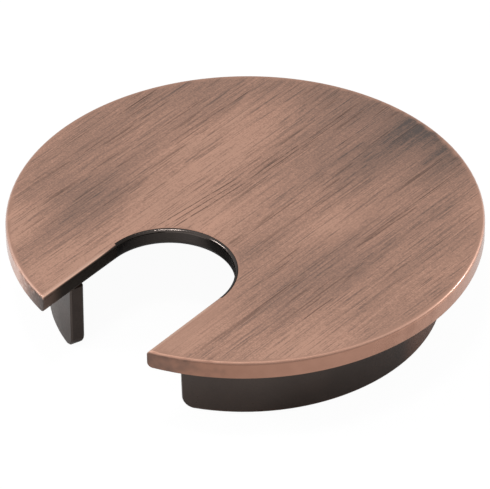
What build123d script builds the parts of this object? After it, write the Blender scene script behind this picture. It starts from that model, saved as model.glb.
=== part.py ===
"""Round desk grommet: a cover disc with a U-shaped cable slot, over a C-shaped collar.

The frame's origin is on the collar's axis, in the plane of the desk top. +Z points up,
out of the desk, and the cable slot opens towards -Y. All dimensions are in millimetres.
"""

import os
from math import hypot

from build123d import *

# Cover disc, 3 inches across, for a 2 1/2 inch hole
COVER_D = 76.2
COVER_T = 3.0
COVER_TOP_EDGE_R = 0.55
RIM_EDGE_R = 0.15

# Cable slot: a round end, parallel sides, and a mouth at the rim
SLOT_W = 21.0
SLOT_END_Y = -COVER_D / 4
SLOT_FOOT_R = 0.9

# Collar: drops into the desk's hole, and is open where the slot is
COLLAR_D = 63.3
COLLAR_WALL = 2.5
COLLAR_DEPTH = 12.0
COLLAR_GAP_HALF_ANGLE = 20.6
COLLAR_END_DRAFT = 1.2
COLLAR_END_CORNER_R = 2.0
COLLAR_OUTER_EDGE_C = 0.25
COLLAR_INNER_EDGE_R = 0.6

# Lugs inside the collar, and the bosses under the cover that stand in them
LUG_COUNT = 4
LUG_START_ANGLE = 45
LUG_PITCH_R = 25.0
LUG_R = 4.2
LUG_T = 2.6
BOSS_D = 5.6
BOSS_H = 1.2
BOSS_PLAY = 0.1

# Countersunk machine screws, M2.5 x 4, and their holes
SCREW_D = 2.5
SCREW_LENGTH = 4.0
SCREW_HEAD_D = 4.7
SCREW_HEAD_PLAY = 0.1
SCREW_TIP_CHAMFER = 0.3
SCREW_CLEARANCE_D = 2.9
SCREW_RECESS_SPAN = 2.6
SCREW_RECESS_W = 0.6
SCREW_RECESS_DEPTH = 1.0
SCREW_RECESS_TAPER = 12
TAPPED_HOLE_D = 2.52
TAPPED_HOLE_TOP_Z = 1.8

# Edge guard: lines the round end of the slot
GUARD_LIP_T = 0.5
GUARD_LIP_TOP_Z = COVER_T - 0.04
GUARD_LIP_R = 0.42
GUARD_FLANGE_W = 3.0
GUARD_FLANGE_T = 1.2
GUARD_PLAY = 0.05

# Relief groove round the collar's root, which sets the rim's seat apart
GROOVE_GAP = 0.4
GROOVE_W = 0.5
GROOVE_DEPTH = 0.2

COVER_R = COVER_D / 2
SLOT_R = SLOT_W / 2
COLLAR_R = COLLAR_D / 2
COLLAR_INNER_R = COLLAR_R - COLLAR_WALL
GUARD_FLANGE_R = SLOT_R + GUARD_FLANGE_W
GROOVE_R = COLLAR_R + GROOVE_GAP
SCREW_TIP_Z = SCREW_LENGTH - LUG_T
SCREW_HEAD_H = (SCREW_HEAD_D - SCREW_D) / 2


def half_ring(outer_r, inner_r=None):
    """Sketch half a ring round the slot's end, on the side away from the mouth."""
    with BuildSketch(mode=Mode.PRIVATE) as ring:
        with Locations((0, SLOT_END_Y)):
            Circle(outer_r)
            if inner_r:
                Circle(inner_r, mode=Mode.SUBTRACT)
            Rectangle(COVER_D, COVER_D, align=(Align.CENTER, Align.MAX), mode=Mode.SUBTRACT)
    return ring.sketch


def lies_on(edge, axis_xy, radius):
    """Whether an edge lies on the upright cylinder of this axis and radius."""
    points = [edge @ t for t in (0, 0.25, 0.5, 0.75, 1)]
    offsets = [hypot(p.X - axis_xy[0], p.Y - axis_xy[1]) - radius for p in points]
    return max(abs(offset) for offset in offsets) < 0.01


def write_piece(builder, name):
    """Label a finished piece and write it as parts/NAME.step."""
    builder.part.label = name
    export_step(builder.part, f"parts/{name}.step")


with BuildPart() as face_plate:
    # disc with the slot let in from its rim
    with BuildSketch() as outline:
        Circle(COVER_R)
        with Locations((0, SLOT_END_Y)):
            Circle(SLOT_R, mode=Mode.SUBTRACT)
            Rectangle(SLOT_W, COVER_R, align=(Align.CENTER, Align.MAX), mode=Mode.SUBTRACT)
    extrude(amount=COVER_T)
    # the slot's foot first, so that the rim's small edge runs on up the mouth's corners
    fillet(edges().group_by(Axis.Z)[0].sort_by(SortBy.LENGTH)[:-1], SLOT_FOOT_R)
    fillet(edges().group_by(Axis.Z)[0].sort_by(SortBy.LENGTH)[-1], RIM_EDGE_R)
    fillet(edges().group_by(Axis.Z)[-1], COVER_TOP_EDGE_R)
    # opening and rebate for the edge guard
    add(half_ring(SLOT_R + GUARD_LIP_T + GUARD_PLAY))
    extrude(amount=COVER_T, mode=Mode.SUBTRACT)
    add(half_ring(GUARD_FLANGE_R + GUARD_PLAY))
    extrude(amount=GUARD_FLANGE_T, mode=Mode.SUBTRACT)
    # relief groove just outside the collar
    with BuildSketch() as relief_groove:
        Circle(GROOVE_R + GROOVE_W)
        Circle(GROOVE_R, mode=Mode.SUBTRACT)
    extrude(amount=GROOVE_DEPTH, mode=Mode.SUBTRACT)
    # bosses with blind tapped holes
    with BuildSketch() as bosses:
        with PolarLocations(LUG_PITCH_R, LUG_COUNT, start_angle=LUG_START_ANGLE):
            Circle(BOSS_D / 2)
    extrude(amount=-BOSS_H)
    with BuildSketch(Plane.XY.offset(-BOSS_H)) as tapped_holes:
        with PolarLocations(LUG_PITCH_R, LUG_COUNT, start_angle=LUG_START_ANGLE):
            Circle(TAPPED_HOLE_D / 2)
    extrude(amount=BOSS_H + TAPPED_HOLE_TOP_Z, mode=Mode.SUBTRACT)

with BuildPart() as edge_guard:
    # a flange that lies in the cover's rebate, and a thin lip up the slot's wall
    add(half_ring(GUARD_FLANGE_R, SLOT_R))
    extrude(amount=GUARD_FLANGE_T)
    add(half_ring(SLOT_R + GUARD_LIP_T, SLOT_R))
    extrude(amount=GUARD_LIP_TOP_Z)
    slot_arcs = edges().filter_by(lambda e: lies_on(e, (0, SLOT_END_Y), SLOT_R))
    slot_arcs = slot_arcs.filter_by(GeomType.CIRCLE).sort_by(Axis.Z)
    fillet(slot_arcs[-1], GUARD_LIP_R)
    fillet(slot_arcs[0], SLOT_FOOT_R)

with BuildPart() as collar:
    with BuildSketch() as wall:
        Circle(COLLAR_R)
        Circle(COLLAR_INNER_R, mode=Mode.SUBTRACT)
    extrude(amount=-COLLAR_DEPTH)
    # gap for the slot, its radial end faces leaning apart towards the foot
    with BuildSketch() as gap:
        with BuildLine() as gap_sides:
            left = PolarLine((0, 0), COVER_D, -90 - COLLAR_GAP_HALF_ANGLE)
            right = PolarLine((0, 0), COVER_D, -90 + COLLAR_GAP_HALF_ANGLE)
            Line(left @ 1, right @ 1)
        make_face()
    extrude(amount=-COLLAR_DEPTH, taper=-COLLAR_END_DRAFT, mode=Mode.SUBTRACT)
    # rounded corners at the foot of the end faces, then the wall's own edges
    fillet(edges().filter_by(GeomType.LINE).group_by(Axis.Z)[0], COLLAR_END_CORNER_R)
    outer_edges = edges().filter_by(lambda e: lies_on(e, (0, 0), COLLAR_R))
    chamfer(outer_edges.filter_by(lambda e: (e @ 0.5).Z < 0), COLLAR_OUTER_EDGE_C)
    inner_edges = edges().filter_by(lambda e: lies_on(e, (0, 0), COLLAR_INNER_R))
    fillet(inner_edges.filter_by(lambda e: (e @ 0.5).Z < 0), COLLAR_INNER_EDGE_R)
    # lugs for the screws, each with a socket for the cover's boss
    with BuildSketch() as lugs:
        with PolarLocations(LUG_PITCH_R, LUG_COUNT, start_angle=LUG_START_ANGLE):
            Circle(LUG_R)
            Rectangle(COLLAR_R - COLLAR_WALL / 2 - LUG_PITCH_R, 2 * LUG_R,
                      align=(Align.MIN, Align.CENTER))
    extrude(amount=-LUG_T)
    with BuildSketch() as sockets:
        with PolarLocations(LUG_PITCH_R, LUG_COUNT, start_angle=LUG_START_ANGLE):
            Circle(BOSS_D / 2 + BOSS_PLAY)
    extrude(amount=-BOSS_H - BOSS_PLAY, mode=Mode.SUBTRACT)
    with Locations(Plane.XY.offset(-LUG_T).rotated((180, 0, 0))):
        with PolarLocations(LUG_PITCH_R, LUG_COUNT, start_angle=LUG_START_ANGLE):
            CounterSinkHole(SCREW_CLEARANCE_D / 2, SCREW_HEAD_D / 2 + SCREW_HEAD_PLAY, LUG_T)

with BuildPart() as collar_screws:
    with BuildSketch(Plane.XY.offset(SCREW_TIP_Z)) as shanks:
        with PolarLocations(LUG_PITCH_R, LUG_COUNT, start_angle=LUG_START_ANGLE):
            Circle(SCREW_D / 2)
    extrude(amount=-SCREW_LENGTH)
    chamfer(edges().group_by(Axis.Z)[-1], SCREW_TIP_CHAMFER)
    with Locations(Plane.XY.offset(-LUG_T)):
        with PolarLocations(LUG_PITCH_R, LUG_COUNT, start_angle=LUG_START_ANGLE):
            Cone(SCREW_HEAD_D / 2, SCREW_D / 2, SCREW_HEAD_H,
                 align=(Align.CENTER, Align.CENTER, Align.MIN))
    with BuildSketch(Plane.XY.offset(-LUG_T)) as recesses:
        with PolarLocations(LUG_PITCH_R, LUG_COUNT, start_angle=LUG_START_ANGLE):
            Rectangle(SCREW_RECESS_SPAN, SCREW_RECESS_W)
            Rectangle(SCREW_RECESS_W, SCREW_RECESS_SPAN)
    extrude(amount=SCREW_RECESS_DEPTH, taper=SCREW_RECESS_TAPER, mode=Mode.SUBTRACT)

os.makedirs("parts", exist_ok=True)
write_piece(face_plate, "face_plate")
write_piece(edge_guard, "edge_guard")
write_piece(collar, "collar")
write_piece(collar_screws, "collar_screws")
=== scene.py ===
"""Looks of the desk grommet: materials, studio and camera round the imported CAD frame.

Lengths are in metres, as in the frame, unless a name ends in _MM. Finishes work in
millimetres, in the part's own coordinates: +Z up, the cable slot towards -Y.
"""

import math

import bpy
from mathutils import Matrix, Vector


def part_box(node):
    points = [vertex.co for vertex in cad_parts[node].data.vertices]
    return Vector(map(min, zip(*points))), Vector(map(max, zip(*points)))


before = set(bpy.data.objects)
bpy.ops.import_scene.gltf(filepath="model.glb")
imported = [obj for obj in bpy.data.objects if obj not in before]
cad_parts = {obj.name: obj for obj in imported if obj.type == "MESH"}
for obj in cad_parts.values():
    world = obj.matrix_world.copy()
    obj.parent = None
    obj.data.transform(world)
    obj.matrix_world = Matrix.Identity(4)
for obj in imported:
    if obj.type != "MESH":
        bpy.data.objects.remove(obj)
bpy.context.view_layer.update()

# ---------------------------------------------------------------- places from the frame

plate_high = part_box("face_plate")[1]
guard_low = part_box("edge_guard")[0]
collar_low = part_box("collar")[0]

COVER_R_MM = 1000 * plate_high.x
COVER_TOP_MM = 1000 * plate_high.z
SLOT_END_Y_MM = 1000 * guard_low.y
SLOT_R_MM = 10.5
COLLAR_FOOT_MM = 1000 * collar_low.z


# ---------------------------------------------------------------- fields and finishes

def display(red, green, blue):
    """The linear colour of one given as it shows on a screen, 0 to 255."""
    linear = [((value / 255 + 0.055) / 1.055) ** 2.4 for value in (red, green, blue)]
    return (*linear, 1)


class Field:
    """A value that varies over a surface: one node socket that arithmetic works on."""

    def __init__(self, finish, socket):
        self.finish = finish
        self.socket = socket

    def __add__(self, other):
        return self.finish.math("ADD", self, other)

    def __sub__(self, other):
        return self.finish.math("SUBTRACT", self, other)

    def __rsub__(self, other):
        return self.finish.math("SUBTRACT", other, self)

    def __mul__(self, other):
        return self.finish.math("MULTIPLY", self, other)

    __radd__ = __add__
    __rmul__ = __mul__

    def __abs__(self):
        return self.finish.math("ABSOLUTE", self)

    def least(self, other):
        """The lesser of this and another value."""
        return self.finish.math("MINIMUM", self, other)

    def most(self, other):
        """The greater of this and another value."""
        return self.finish.math("MAXIMUM", self, other)

    def rise(self, low, high):
        """0 up to low and 1 from high on, smooth between. It falls where low is the greater."""
        inputs = {"Value": self, "From Min": low, "From Max": high}
        return self.finish.node("MapRange", inputs, interpolation_type="SMOOTHSTEP")


class Finish:
    """A procedural material: a Principled shader driven by fields in the part's millimetres."""

    def __init__(self, name, constants):
        self.material = bpy.data.materials.new(name)
        self.material.use_nodes = True
        self.tree = self.material.node_tree
        self.shader = self.tree.nodes["Principled BSDF"]
        for socket_name, value in constants.items():
            self.set(socket_name, value)
        place = self.tree.nodes.new("ShaderNodeTexCoord")
        point = self.node("VectorMath", {0: place.outputs["Object"], 1: (1000, 1000, 1000)},
                          operation="MULTIPLY")
        self.x, self.y, self.z = self.parts(point)
        self.facing_x, self.facing_y, self.facing_up = self.parts(place.outputs["Normal"])

    def node(self, kind, inputs, output=0, **options):
        """Add a node, set its options, link or set its inputs, and return one output's field."""
        made = self.tree.nodes.new("ShaderNode" + kind)
        for option, choice in options.items():
            setattr(made, option, choice)
        for place, value in inputs.items():
            self.feed(made.inputs[place], value)
        return Field(self, made.outputs[output])

    def feed(self, socket, value):
        """Link a field or a socket to this socket, or set it to a constant."""
        if isinstance(value, Field):
            value = value.socket
        if isinstance(value, bpy.types.NodeSocket):
            self.tree.links.new(value, socket)
        else:
            socket.default_value = value

    def set(self, name, value):
        """Give one of the shader's inputs a field or a constant."""
        self.feed(self.shader.inputs[name], value)

    def parts(self, vector):
        """The X, Y and Z fields of a vector."""
        return [self.node("SeparateXYZ", {0: vector}, output) for output in range(3)]

    def math(self, operation, *values):
        """One step of arithmetic on fields and numbers."""
        return self.node("Math", dict(enumerate(values)), operation=operation)

    def reach(self, x, y):
        """The length of the vector (x, y)."""
        return self.math("SQRT", x * x + y * y)

    def away_from(self, place_mm):
        """How far a point is, in plan, from this (x, y)."""
        return self.reach(self.x - place_mm[0], self.y - place_mm[1])

    def noise(self, x, y, z=0.0, detail=2.0, roughness=0.5):
        """Noise about 0.5, with a bump for each unit of x, y and z."""
        place = self.node("CombineXYZ", {0: x, 1: y, 2: z})
        inputs = {"Vector": place, "Scale": 1, "Detail": detail, "Roughness": roughness}
        return self.node("TexNoise", inputs)

    def grain(self, size_mm, detail=2.0, roughness=0.5):
        """Even noise with bumps of this size."""
        per_mm = 1 / size_mm
        return self.noise(self.x * per_mm, self.y * per_mm, self.z * per_mm, detail, roughness)

    def ramp(self, field, *stops):
        """A colour for each value of a field, from stops of (value, colour)."""
        made = self.tree.nodes.new("ShaderNodeValToRGB")
        elements = made.color_ramp.elements
        elements.remove(elements[1])
        elements[0].position, elements[0].color = stops[0]
        for value, colour in stops[1:]:
            elements.new(value).color = colour
        self.feed(made.inputs[0], field)
        return Field(self, made.outputs[0])

    def blend(self, factor, first, second):
        """The colour that goes from first to second as the factor goes from 0 to 1."""
        inputs = {"Factor": factor, 6: first, 7: second}
        return self.node("Mix", inputs, 2, data_type="RGBA")

    def raise_by(self, height_mm):
        """Give the surface this relief, as bump."""
        inputs = {"Height": height_mm, "Strength": 1, "Distance": 0.001}
        self.set("Normal", self.node("Bump", inputs))


# ---------------------------------------------------------------- brushed antique copper

# The brush ran along the slot, leaning a little: across per millimetre along.
BRUSH_LEAN = 0.021

# The middle of the painted shade on the rim, at the tip left of the slot's mouth.
SHADED_TIP_MM = (-12, -36.5)

# Patina left by hand, darker (+) and rubbed lighter (-):
# across and along the brush, half width, half length, strength.
PATINA_PATCHES = (
    (10.0, 38.5, 8.0, 8.0, 0.72),
    (-5.0, 36.0, 7.0, 7.0, 0.20),
    (-14.5, 32.0, 5.0, 8.0, 0.22),
    (4.5, 25.0, 7.5, 11.0, 0.27),
    (15.5, 29.0, 4.5, 7.5, 0.18),
    (12.5, 7.0, 3.4, 6.0, -0.16),
    (27.0, 27.0, 5.0, 6.0, -0.14),
    (20.0, -2.0, 5.5, 11.0, 0.16),
    (19.0, -14.0, 4.0, 9.0, 0.12),
    (27.5, -24.0, 6.5, 12.0, -0.22),
    (-4.5, -7.0, 6.5, 9.0, -0.32),
    (7.5, -9.0, 3.0, 5.0, 0.14),
    (-13.5, 10.0, 4.5, 14.0, -0.14),
    (-20.0, 10.0, 5.5, 11.0, -0.13),
    (-18.5, -18.0, 4.5, 9.0, 0.14),
    (-24.0, -13.0, 6.5, 10.0, 0.22),
    (-28.0, -27.0, 6.0, 9.0, -0.32),
    (-12.5, -25.0, 4.0, 17.0, -0.32),
    (13.0, -32.0, 4.5, 9.0, -0.34),
    (-28.0, 22.0, 4.5, 10.0, 0.12),
    (-31.0, -3.0, 4.0, 7.0, 0.11),
)

# Single long scratches: middle x and y, lean, half length, half width, depth.
SCRATCHES = (
    (-7.9, -2.4, 0.10, 10.0, 0.14, 1.0),
    (-6.9, -2.0, 0.09, 10.0, 0.13, 0.9),
    (-5.9, -2.0, 0.08, 9.5, 0.15, 1.0),
    (-4.9, 20.0, 0.03, 14.0, 0.15, 0.7),
    (-4.2, 21.0, 0.03, 12.0, 0.13, 0.6),
    (-21.1, 17.0, 0.04, 11.0, 0.17, 0.6),
    (-20.3, 15.0, 0.04, 9.0, 0.15, 0.5),
    (-33.0, 13.0, 0.02, 6.5, 0.20, 0.6),
    (-25.2, 15.0, 0.02, 6.0, 0.18, 0.6),
    (19.9, 13.0, 0.05, 7.0, 0.18, 0.7),
    (19.2, 12.0, 0.05, 6.0, 0.15, 0.6),
    (7.3, 6.0, 0.02, 12.0, 0.16, 0.4),
    (-18.8, -9.0, 0.02, 8.0, 0.18, 0.4),
    (24.4, -11.8, 0.03, 4.0, 0.18, 0.7),
)


class BrushedCopper(Finish):
    """Copper plate under dark patina, brushed back; black in the slot, rough underneath."""

    def __init__(self):
        super().__init__("brushed_copper", {"Metallic": 1.0, "Coat Roughness": 0.12})
        self.find_places()
        self.make_marks()
        colour = self.blend(self.walls, self.top_colour(), self.rim_colour())
        colour = self.colour_edges(colour)
        colour = self.colour_slot(colour)
        colour = self.colour_underside(colour)
        self.set("Base Color", colour)
        self.set("Roughness", self.dullness())
        # the lacquer shines only on the rounded edge, away from the front, where the edge is painted grey
        # as a dark reflection
        self.set("Coat Weight", 0.8 * (self.edge - self.front_edge))
        brushing = 0.010 * self.hairs + 0.008 * self.fine - 0.008 * self.lines
        on_top = (1 - self.walls) * (1 - self.underside)
        self.raise_by(brushing * on_top + self.underside * 0.03 * self.cast)

    def find_places(self):
        """Work out where a point is on the cover, and how deep below its top."""
        x, y, z = self.x, self.y, self.z
        self.across = x - BRUSH_LEAN * y
        self.depth = COVER_TOP_MM - z
        self.rim_gap = COVER_R_MM - self.reach(x, y)
        self.slot_gap = self.reach(x, (y - SLOT_END_Y_MM).most(0)) - SLOT_R_MM
        self.from_mouth = self.reach(x, y + COVER_R_MM)
        self.left_rim = x.rise(-8, -14)
        self.walls = self.facing_up.rise(0.85, 0.35)
        self.edge = self.facing_up.rise(0.99, 0.9) * self.facing_up.rise(0.35, 0.55)
        self.front_edge = self.edge * self.from_mouth.rise(56, 32) * (1 - self.left_rim)
        self.left_edge = self.edge * self.left_rim
        self.underside = self.facing_up.rise(-0.3, -0.8).most(z.rise(-0.05, -0.2))

    def make_marks(self):
        """Make the brush marks, the patina and the grains that several layers share."""
        self.strokes = self.noise(self.across * 0.8, self.y * 0.08, 11.7, detail=0)
        self.hairs = self.brushed(3.3, 5, 23.9)
        self.fine = self.brushed(5.5, 3, 37.3)
        self.patches = self.patina()
        self.lines = self.hairlines()
        self.mottle = self.grain(2.2, detail=3)
        self.cast = self.grain(0.35, detail=4, roughness=0.65)

    def brushed(self, per_mm, length_mm, seed):
        """Straight brush marks about 0: so many to the millimetre, in strokes of this length."""
        across, y = self.across, self.y
        mark = self.noise(across * per_mm, y * (0.012 * per_mm), seed, detail=0)
        stroke = self.noise(across * (0.45 * per_mm), y * (1 / length_mm), seed + 5.3, detail=0)
        return (mark - 0.5) * stroke.rise(0.35, 0.65)

    def patina(self):
        """Broad bands and patches about 0, with ends feathered along the brush."""
        across, y = self.across, self.y
        bands = self.noise(across * 0.16, y * 0.025, 3.1, detail=1)
        ragged_x = across + 5 * (self.noise(across * 0.12, y * 0.05, 41.0) - 0.5)
        ragged_y = y + 12 * (self.noise(across * 1.1, y * 0.04, 47.0) - 0.5)
        patches = 0.42 * (bands - 0.5)
        for patch_x, patch_y, half_width, half_length, strength in PATINA_PATCHES:
            side = (ragged_x - patch_x) * (1 / half_width)
            end = (ragged_y - patch_y) * (1 / half_length)
            patches = patches + strength * self.math("EXPONENT", -1 * (side * side + end * end))
        return patches

    def hairlines(self):
        """Black hairlines, thick and thin, in groups, and more of them in dark patina."""
        across, y = self.across, self.y
        gate = self.noise(across * 0.35, y * 0.035, 53.0, detail=1) + 0.3 * self.patches
        thick = self.noise(across * 2.2, y * 0.02, 59.3, detail=0).rise(0.64, 0.70)
        thick = thick * self.noise(across * 0.9, y * 0.11, 61.9, detail=0).rise(0.46, 0.60)
        thin = self.noise(across * 3.6, y * 0.04, 71.7, detail=0).rise(0.60, 0.68)
        thin = thin * self.noise(across * 1.8, y * 0.18, 73.1, detail=0).rise(0.48, 0.62)
        return 0.8 * thick.most(thin) * gate.rise(0.38, 0.62)

    def scratches(self):
        """Long scratches, which wander a little and break off here and there."""
        x, y = self.x, self.y
        wander = 0.5 * (self.noise(y * 0.12, 0.0, 61.0) - 0.5)
        broken = self.noise(self.across * 2, y * 0.7, 67.0).rise(0.25, 0.5)
        scratches = 0
        for line_x, line_y, lean, half_length, half_width, depth in SCRATCHES:
            sideways = abs(x - line_x - lean * (y - line_y) + wander)
            on_line = sideways.rise(half_width, 0.3 * half_width)
            in_length = abs(y - line_y).rise(half_length, 0.7 * half_length)
            scratches = (depth * broken * on_line * in_length).most(scratches)
        return scratches

    def top_colour(self):
        """The brushed top: patina where the brush left it, bare along the edges."""
        x, y = self.x, self.y
        grit = self.grain(0.26, detail=1)
        marks = (0.10 * (self.strokes - 0.5) + 0.12 * self.brushed(1.5, 8, 17.3)
                 + 0.35 * self.hairs.most(-0.07) + 1.35 * self.fine.most(-0.07)
                 + 0.65 * (grit - 0.5))
        edge_gap = self.rim_gap.least(self.slot_gap)
        kept = (edge_gap + 1.2 * (self.strokes - 0.5)).rise(0.3, 1.3)
        # beside the mouth's right side the brush left bare copper
        bare = x.rise(17, 12) * x.rise(8, 10) * y.rise(-15, -24)
        kept = kept * (1 - 0.7 * bare)
        self.tone = 0.16 + kept * (marks + self.patches + 0.08)
        colour = self.ramp(self.tone, (0.0, display(206, 162, 141)), (0.15, display(188, 147, 128)),
                           (0.4, display(161, 128, 113)), (0.7, display(134, 110, 99)),
                           (1.0, display(99, 89, 85)))
        colour = self.blend(self.lines * kept * 0.55, colour, display(84, 66, 58))
        return self.blend(self.scratches() * kept * 0.75, colour, display(70, 56, 50))

    def rim_colour(self):
        """The rim's wall: smoother, warmer, mottled, darker towards the slot's mouth and brighter round the
        sides, in part patina and in part painted shade and painted highlight.
        """
        # the tone falls towards the mouth and the left tip as painted shade over duller patina, and peaks
        # round the left and right as painted highlight
        self.rim_tone = (self.from_mouth * 0.018 + self.left_rim * (self.from_mouth - 12) * 0.09
                         + 0.35 * (self.mottle - 0.5))
        return self.ramp(0.7 * self.rim_tone, (0.07, display(84, 72, 67)),
                         (0.25, display(140, 104, 88)), (0.6, display(158, 119, 102)),
                         (0.74, display(186, 143, 124)), (0.95, display(172, 128, 108)))

    def colour_edges(self, colour):
        """Grey the rounded edge, at the front as a painted dark reflection, and paint highlight specks and
        a patch of shade on the rim's wall on the left.
        """
        # painted dark reflection: the front's rounded edge greyed
        colour = self.blend(0.25 * self.front_edge, colour, display(120, 104, 97))
        colour = self.blend(0.35 * self.left_edge, colour, display(140, 120, 111))
        left_wall = self.walls * self.left_rim * self.from_mouth.rise(30, 18)
        # painted highlight: pale glint specks on the left rim's wall
        glint_specks = self.grain(0.6, detail=2).rise(0.54, 0.64) * left_wall
        colour = self.blend(0.35 * glint_specks, colour, display(214, 196, 186))
        # painted shade: a dark mottled patch on the rim's wall at the left tip
        blotch = self.away_from(SHADED_TIP_MM).rise(5.5, 1.5) * self.mottle.rise(0.25, 0.5)
        return self.blend(0.7 * self.walls * blotch, colour, display(66, 63, 62))

    def colour_slot(self, colour):
        """The slot's walls: bright on the edge, from wear and a painted highlight, then brown, then black.
        """
        clear_of_rim = self.rim_gap.rise(0.05, 0.3)
        in_slot = self.slot_gap.rise(1.1, 0.7) * clear_of_rim
        near_guard = self.y.rise(SLOT_END_Y_MM - 5, SLOT_END_Y_MM)
        on_edge = self.slot_gap.rise(0.8, 0.6) * self.depth.rise(0.16, 0.08)
        wear_and_glint = on_edge * clear_of_rim * (1 - near_guard)
        browned = in_slot * self.depth.rise(0.08, 0.20)
        below_edge = (self.depth + 0.1 * near_guard).rise(0.10, 0.28)
        inward = (self.rim_gap + 3 * (self.mottle - 0.5)).rise(0, 5)
        self.blackened = in_slot * below_edge * inward
        # the bright line on the edge is partly wear and partly a painted highlight
        colour = self.blend(0.45 * wear_and_glint, colour, display(226, 190, 170))
        colour = self.blend(0.85 * browned, colour, display(100, 80, 70))
        return self.blend(self.blackened, colour, display(44, 37, 32))

    def colour_underside(self, colour):
        """The underside: rough as cast, and thinly plated."""
        blotch = self.grain(9, detail=2)
        rough_copper = self.ramp(0.6 * blotch + 0.4 * self.cast, (0.3, display(118, 90, 76)),
                                 (0.7, display(66, 54, 48)))
        return self.blend(self.underside, colour, rough_copper)

    def dullness(self):
        """Roughness: streaked on the top, falling from the mouth round the rim, more on edges and below."""
        top = 0.36 + 0.25 * (self.strokes - 0.5) + 0.18 * self.tone
        rim = 0.52 - 0.3 * self.rim_tone.least(1)
        edges = 0.1 * self.edge + 0.25 * self.front_edge + 0.1 * self.left_edge
        return top + self.walls * (rim - top) + self.blackened * 0.2 + self.underside * 0.25 + edges


# ---------------------------------------------------------------- the other finishes

# The tint of what the black and bronze coats reflect.
WARM = (1.0, 0.83, 0.75, 1.0)

# Where cords have polished the slot's round end, and a second stretch of its lip only.
WORN_END_MM = (-5.2, -9.9)
WORN_LIP_MM = (3.2, -9.3)

# The middle of the collar's side where a brown sheen is painted.
SHEEN_SIDE_MM = (30.5, 8)


def gloss_black():
    """Glossy moulded black, worn glossier where cords lean on it, with a little dust."""
    finish = Finish("gloss_black", {"Metallic": 0.0, "Specular Tint": WARM})
    swirl = finish.grain(1.4, detail=3, roughness=0.6)
    dust = finish.grain(0.12, detail=1).rise(0.68, 0.78)
    tint = finish.ramp(swirl, (0.35, display(8, 6, 5)), (0.7, display(14, 11, 9)))
    finish.set("Base Color", finish.blend(0.15 * dust, tint, display(120, 112, 106)))
    wear_and_glint = finish.away_from(WORN_END_MM).rise(9, 3)
    worn_lip = finish.away_from(WORN_LIP_MM).rise(7, 2).most(wear_and_glint)
    lip = (COVER_TOP_MM - finish.z).rise(0.5, 0.35)
    finish.set("Specular IOR Level", 0.17 + 0.33 * wear_and_glint + lip * (0.1 + 0.5 * worn_lip))
    finish.set("Roughness", 0.06 + 0.06 * swirl + 0.25 * dust + 0.07 * lip)
    finish.raise_by(0.0008 * swirl)
    return finish


def dark_bronze():
    """Satin dark bronze coat over a casting, rubbed brown along the foot, with a brown sheen painted on one
    side.
    """
    finish = Finish("dark_bronze", {"Metallic": 0.0, "Specular Tint": WARM})
    cast = finish.grain(0.4, detail=4, roughness=0.6)
    cloud = finish.grain(7, detail=2)
    coat = finish.ramp(0.7 * cloud + 0.3 * cast, (0.3, display(44, 34, 29)),
                       (0.7, display(28, 21, 18)))
    sheen_side = finish.away_from(SHEEN_SIDE_MM).rise(9, 3)
    # painted sheen: a brown highlight on the collar's right side
    coat = finish.blend(0.85 * sheen_side, coat, display(86, 56, 42))
    foot = finish.z.rise(COLLAR_FOOT_MM + 0.6, COLLAR_FOOT_MM + 0.1)
    rubbed_foot = foot * cast.rise(0.35, 0.65)
    finish.set("Base Color", finish.blend(0.5 * rubbed_foot, coat, display(112, 80, 62)))
    # the cut ends of the wall are duller than its round
    outward = finish.facing_x * finish.x + finish.facing_y * finish.y
    cut_end = abs(outward).rise(18, 8) * abs(finish.facing_up).rise(0.5, 0.2)
    finish.set("Specular IOR Level", 0.5 - 0.22 * cut_end)
    finish.set("Roughness", 0.18 + 0.18 * cast + 0.1 * cloud + 0.2 * cut_end)
    finish.raise_by(0.02 * cast)
    return finish


def black_oxide():
    """Black oxide on turned steel screws."""
    finish = Finish("black_oxide", {"Metallic": 1.0})
    turned = finish.grain(0.15, detail=2)
    tint = finish.ramp(turned, (0.3, display(74, 73, 76)), (0.7, display(44, 43, 46)))
    finish.set("Base Color", tint)
    finish.set("Roughness", 0.3 + 0.3 * turned)
    finish.raise_by(0.006 * turned)
    return finish


FINISHES = {
    "face_plate": BrushedCopper,
    "edge_guard": gloss_black,
    "collar": dark_bronze,
    "collar_screws": black_oxide,
}
for node_name, make_finish in FINISHES.items():
    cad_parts[node_name].material_slots[0].material = make_finish().material


# ---------------------------------------------------------------- studio

# Camera: angles in degrees, lens in millimetres, and how far it is shifted, in metres,
# off the line to the middle of the cover's top.
CAMERA_AZIMUTH = 39.8
CAMERA_ELEVATION = 37.34
CAMERA_ROLL = -0.59
CAMERA_LENS_MM = 352.4
CAMERA_DISTANCE = 0.762
CAMERA_SHIFT_RIGHT = -0.00002
CAMERA_SHIFT_UP = -0.00492

FLOOR_SIZE = 6.0
SKY_STRENGTH = 0.75


def add_floor(name, drop, emission, grey):
    """Add a plain floor this far under the collar's foot."""
    half = FLOOR_SIZE / 2
    level = collar_low.z - drop
    corners = [(x, y, level) for x, y in ((-half, -half), (half, -half), (half, half), (-half, half))]
    mesh = bpy.data.meshes.new(name)
    mesh.from_pydata(corners, [], [(0, 1, 2, 3)])
    floor = bpy.data.objects.new(name, mesh)
    bpy.context.scene.collection.objects.link(floor)
    paint = bpy.data.materials.new(name)
    paint.use_nodes = True
    shader = paint.node_tree.nodes["Principled BSDF"]
    shader.inputs["Base Color"].default_value = (grey, grey, grey, 1)
    shader.inputs["Roughness"].default_value = 0.9
    shader.inputs["Specular IOR Level"].default_value = 0
    shader.inputs["Emission Color"].default_value = (1, 1, 1, 1)
    shader.inputs["Emission Strength"].default_value = emission
    mesh.materials.append(paint)
    return floor


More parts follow.
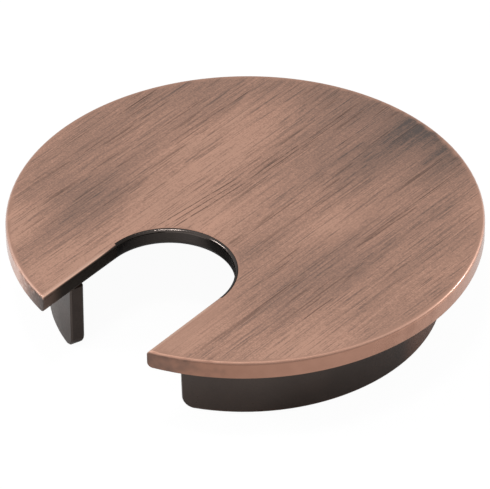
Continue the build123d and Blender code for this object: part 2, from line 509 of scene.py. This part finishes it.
# One floor lights the object, and the camera sees a paler one in its place.
floor = add_floor("floor", drop=0.00005, emission=0, grey=0.8)
floor.visible_camera = False
page = add_floor("page", drop=0.00002, emission=0.96, grey=0.04)
for rays in ("diffuse", "glossy", "transmission", "volume_scatter", "shadow"):
    setattr(page, "visible_" + rays, False)


def from_camera(right, toward, up):
    """A direction in the frame, from the camera's right, the way to it, and up."""
    azimuth = math.radians(CAMERA_AZIMUTH)
    across = Vector((math.cos(azimuth), math.sin(azimuth), 0))
    out = Vector((math.sin(azimuth), -math.cos(azimuth), 0))
    return (right * across + toward * out + Vector((0, 0, up))).normalized()


def add_softbox(name, direction, distance, width, height, radiance):
    """Add a white area light that faces the object."""
    data = bpy.data.lights.new(name, "AREA")
    data.shape = "RECTANGLE"
    data.size = width
    data.size_y = height
    data.energy = radiance * math.pi * width * height
    light = bpy.data.objects.new(name, data)
    light.location = direction * distance
    light.rotation_euler = direction.to_track_quat("Z", "Y").to_euler()
    bpy.context.scene.collection.objects.link(light)


add_softbox("overhead", from_camera(-0.1, 0.1, 1.0), distance=1.0, width=0.22, height=0.10, radiance=52)
add_softbox("left", from_camera(-0.84, -0.06, 0.52), distance=0.9, width=0.40, height=0.10, radiance=41)
add_softbox("right", from_camera(0.86, -0.33, 0.4), distance=0.9, width=0.12, height=0.14, radiance=47)

world = bpy.data.worlds.new("studio")
world.use_nodes = True
sky = world.node_tree.nodes["Background"]
sky.inputs["Color"].default_value = (1, 1, 1, 1)
sky.inputs["Strength"].default_value = SKY_STRENGTH
bpy.context.scene.world = world
bpy.context.scene.view_settings.view_transform = "Standard"


# ---------------------------------------------------------------- camera

def add_camera():
    """Long-lens camera on the middle of the cover's top, at the product shot's angle."""
    azimuth = math.radians(CAMERA_AZIMUTH)
    elevation = math.radians(CAMERA_ELEVATION)
    roll = math.radians(CAMERA_ROLL)
    level = math.cos(elevation)
    back = Vector((math.sin(azimuth) * level, -math.cos(azimuth) * level, math.sin(elevation)))
    right = Vector((math.cos(azimuth), math.sin(azimuth), 0))
    up = back.cross(right)
    right_rolled = math.cos(roll) * right + math.sin(roll) * up
    up_rolled = math.cos(roll) * up - math.sin(roll) * right
    data = bpy.data.cameras.new("camera")
    data.lens = CAMERA_LENS_MM
    data.clip_end = 10
    camera = bpy.data.objects.new("camera", data)
    target = Vector((0, 0, plate_high.z))
    place = target + back * CAMERA_DISTANCE
    place += right_rolled * CAMERA_SHIFT_RIGHT + up_rolled * CAMERA_SHIFT_UP
    turn = Matrix((right_rolled, up_rolled, back)).transposed().to_4x4()
    camera.matrix_world = Matrix.Translation(place) @ turn
    bpy.context.scene.collection.objects.link(camera)
    bpy.context.scene.camera = camera


add_camera()
